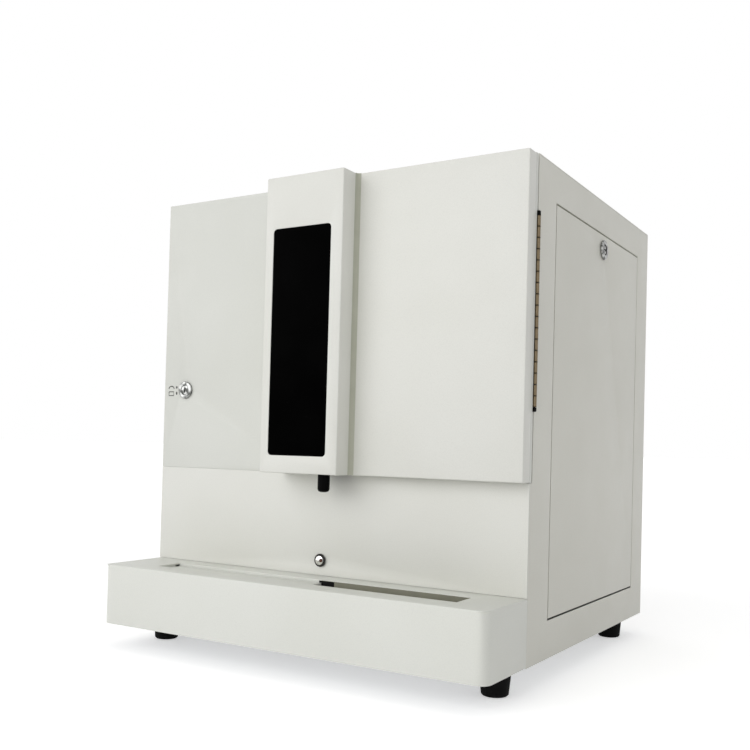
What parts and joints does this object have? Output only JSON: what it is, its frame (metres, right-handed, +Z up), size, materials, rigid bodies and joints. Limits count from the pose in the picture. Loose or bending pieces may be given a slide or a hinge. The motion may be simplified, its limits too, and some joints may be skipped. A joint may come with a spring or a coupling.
{
  "type": "urine sediment analyzer",
  "caption": "Benchtop sediment analyzer: coated steel cabinet with hinged front door and tower window, drop-down side panel, rack slot in the base and probe lift",
  "frame": {"origin": "middle of the base: centre of the bounding box at the bottom of the feet", "axes": "+Z up, +Y from the front to the back, +X to the right seen from the front"},
  "size_m": [0.6036, 0.6168, 0.6585],
  "materials": {
    "left_side_panel": "fine textured powder coat",
    "right_side_frame": "fine textured powder coat",
    "top_cover": "fine textured powder coat",
    "floor_pan": "zinc plated or ground steel",
    "rear_panel": "fine textured powder coat",
    "corner_frame": "zinc plated or ground steel",
    "lower_front_panel": "fine textured powder coat",
    "base_housing": "fine textured powder coat",
    "base_floor": "zinc plated or ground steel",
    "foot_front_left": "moulded rubber",
    "foot_front_right": "moulded rubber",
    "foot_rear_left": "moulded rubber",
    "foot_rear_right": "moulded rubber",
    "front_door": "fine textured powder coat",
    "raised_panel": "fine textured powder coat",
    "tower_cover": "fine textured powder coat",
    "tower_window": "smooth glossy plastic",
    "hinge_door_leaf": "bronzed steel hinge",
    "hinge_cabinet_leaf": "bronzed steel hinge",
    "hinge_pin": "zinc plated or ground steel",
    "door_lock_housing": "polished chrome",
    "door_lock_plug": "polished chrome",
    "service_panel": "fine textured powder coat",
    "service_hinge_pin": "zinc plated or ground steel",
    "service_lock_housing": "polished chrome",
    "service_lock_plug": "polished chrome",
    "button_bezel": "polished chrome",
    "button_cap": "smooth glossy plastic",
    "bulkhead": "zinc plated or ground steel",
    "chassis_table": "zinc plated or ground steel",
    "sampler_frame": "machined or anodised aluminium",
    "z_motor": "fine textured powder coat",
    "z_drive_pulley": "machined or anodised aluminium",
    "z_idler_pulley": "machined or anodised aluminium",
    "z_belt": "moulded rubber",
    "probe_carriage": "machined or anodised aluminium",
    "probe_needle": "zinc plated or ground steel",
    "probe_guard": "matt moulded plastic",
    "rack_carriage": "fine textured powder coat",
    "carriage_bearings": "matt moulded plastic",
    "guide_rod_front": "zinc plated or ground steel",
    "guide_rod_rear": "zinc plated or ground steel",
    "rod_supports": "machined or anodised aluminium",
    "conveyor_motor": "fine textured powder coat",
    "conveyor_drive_pulley": "machined or anodised aluminium",
    "conveyor_idler_pulley": "machined or anodised aluminium",
    "conveyor_belt": "moulded rubber",
    "microscope_stand": "machined or anodised aluminium",
    "focus_stage": "machined or anodised aluminium",
    "flow_cell": "clear glass",
    "objective": "zinc plated or ground steel",
    "camera": "matt moulded plastic",
    "syringe_drive": "matt moulded plastic",
    "syringe_barrel": "clear glass",
    "syringe_plunger": "zinc plated or ground steel",
    "power_supply": "matt moulded plastic",
    "fan_housing": "matt moulded plastic",
    "fan_rotor": "matt moulded plastic",
    "power_inlet": "matt moulded plastic",
    "power_switch": "smooth glossy plastic"
  },
  "bodies": {
    "cabinet": {"left_side_panel": "left_side_panel", "right_side_frame": "right_side_frame", "top_cover": "top_cover", "floor_pan": "floor_pan", "rear_panel": "rear_panel", "corner_frame": "corner_frame", "lower_front_panel": "lower_front_panel", "base_housing": "base_housing", "base_floor": "base_floor", "foot_front_left": "foot_front_left", "foot_front_right": "foot_front_right", "foot_rear_left": "foot_rear_left", "foot_rear_right": "foot_rear_right", "hinge_cabinet_leaf": "hinge_cabinet_leaf", "hinge_pin": "hinge_pin", "service_hinge_pin": "service_hinge_pin", "button_bezel": "button_bezel", "bulkhead": "bulkhead", "chassis_table": "chassis_table", "sampler_frame": "sampler_frame", "z_motor": "z_motor", "z_belt": "z_belt", "probe_guard": "probe_guard", "guide_rod_front": "guide_rod_front", "guide_rod_rear": "guide_rod_rear", "rod_supports": "rod_supports", "conveyor_motor": "conveyor_motor", "conveyor_belt": "conveyor_belt", "microscope_stand": "microscope_stand", "objective": "objective", "camera": "camera", "syringe_drive": "syringe_drive", "syringe_barrel": "syringe_barrel", "power_supply": "power_supply", "fan_housing": "fan_housing", "power_inlet": "power_inlet"},
    "front_door": {"front_door": "front_door", "raised_panel": "raised_panel", "tower_cover": "tower_cover", "tower_window": "tower_window", "hinge_door_leaf": "hinge_door_leaf", "door_lock_housing": "door_lock_housing"},
    "door_lock": {"door_lock_plug": "door_lock_plug"},
    "service_panel": {"service_panel": "service_panel", "service_lock_housing": "service_lock_housing"},
    "service_lock": {"service_lock_plug": "service_lock_plug"},
    "start_button": {"button_cap": "button_cap"},
    "probe_carriage": {"probe_carriage": "probe_carriage", "probe_needle": "probe_needle"},
    "z_drive": {"z_drive_pulley": "z_drive_pulley"},
    "z_idler": {"z_idler_pulley": "z_idler_pulley"},
    "rack_carriage": {"rack_carriage": "rack_carriage", "carriage_bearings": "carriage_bearings"},
    "conveyor_drive": {"conveyor_drive_pulley": "conveyor_drive_pulley"},
    "conveyor_idler": {"conveyor_idler_pulley": "conveyor_idler_pulley"},
    "focus_stage": {"focus_stage": "focus_stage", "flow_cell": "flow_cell"},
    "syringe_plunger": {"syringe_plunger": "syringe_plunger"},
    "fan_rotor": {"fan_rotor": "fan_rotor"},
    "power_switch": {"power_switch": "power_switch"}
  },
  "joints": [
    {"name": "door_hinge", "type": "hinge", "parent": "cabinet", "child": "front_door", "pos_m": [0.29935, -0.18865, 0.2558], "axis": [0, 0, 1], "range_deg": [0, 110]},
    {"name": "door_lock_turn", "type": "hinge", "parent": "front_door", "child": "door_lock", "pos_m": [-0.25885, -0.1964, 0.3725], "axis": [0, 1, 0], "range_deg": [0, 90]},
    {"name": "service_panel_hinge", "type": "hinge", "parent": "cabinet", "child": "service_panel", "pos_m": [0.29415, -0.1239, 0.0885], "axis": [0, 1, 0], "range_deg": [0, 90]},
    {"name": "service_lock_turn", "type": "hinge", "parent": "service_panel", "child": "service_lock", "pos_m": [0.29815, 0.0655, 0.5881], "axis": [-1, 0, 0], "range_deg": [0, 90]},
    {"name": "button_press", "type": "slide", "parent": "cabinet", "child": "start_button", "axis": [0, 1, 0], "range_m": [0, 0.003], "stiffness_N_per_m": 300},
    {"name": "probe_lift", "type": "slide", "parent": "cabinet", "child": "probe_carriage", "axis": [0, 0, -1], "range_m": [0, 0.12]},
    {"name": "z_drive_spin", "type": "hinge", "parent": "cabinet", "child": "z_drive", "pos_m": [-0.01885, -0.1944, 0.6045], "axis": [0, 1, 0], "range_deg": [0, 765]},
    {"name": "z_idler_spin", "type": "hinge", "parent": "cabinet", "child": "z_idler", "pos_m": [-0.01885, -0.1944, 0.3005], "axis": [0, 1, 0], "range_deg": [0, 765]},
    {"name": "rack_travel", "type": "slide", "parent": "cabinet", "child": "rack_carriage", "axis": [1, 0, 0], "range_m": [0, 0.216]},
    {"name": "conveyor_drive_spin", "type": "hinge", "parent": "cabinet", "child": "conveyor_drive", "pos_m": [0.25315, -0.2514, 0.0526], "axis": [0, 1, 0], "range_deg": [0, 1235]},
    {"name": "conveyor_idler_spin", "type": "hinge", "parent": "cabinet", "child": "conveyor_idler", "pos_m": [-0.25685, -0.2514, 0.0526], "axis": [0, 1, 0], "range_deg": [0, 1235]},
    {"name": "focus_travel", "type": "slide", "parent": "cabinet", "child": "focus_stage", "axis": [0, 0, 1], "range_m": [0, 0.004]},
    {"name": "plunger_stroke", "type": "slide", "parent": "cabinet", "child": "syringe_plunger", "axis": [0, 0, -1], "range_m": [0, 0.03]},
    {"name": "fan_spin", "type": "hinge", "parent": "cabinet", "child": "fan_rotor", "pos_m": [-0.18185, 0.2836, 0.4985], "axis": [0, 1, 0], "continuous": true},
    {"name": "switch_rock", "type": "hinge", "parent": "cabinet", "child": "power_switch", "pos_m": [0.19815, 0.2989, 0.1145], "axis": [1, 0, 0], "range_deg": [-12, 12]}
  ],
  "couplings": [
    {"joint": "z_drive_spin", "follows": "probe_lift", "rad_per_m": 110.5},
    {"joint": "z_idler_spin", "follows": "probe_lift", "rad_per_m": 110.5},
    {"joint": "conveyor_drive_spin", "follows": "rack_travel", "rad_per_m": 99.502},
    {"joint": "conveyor_idler_spin", "follows": "rack_travel", "rad_per_m": 99.502}
  ]
}
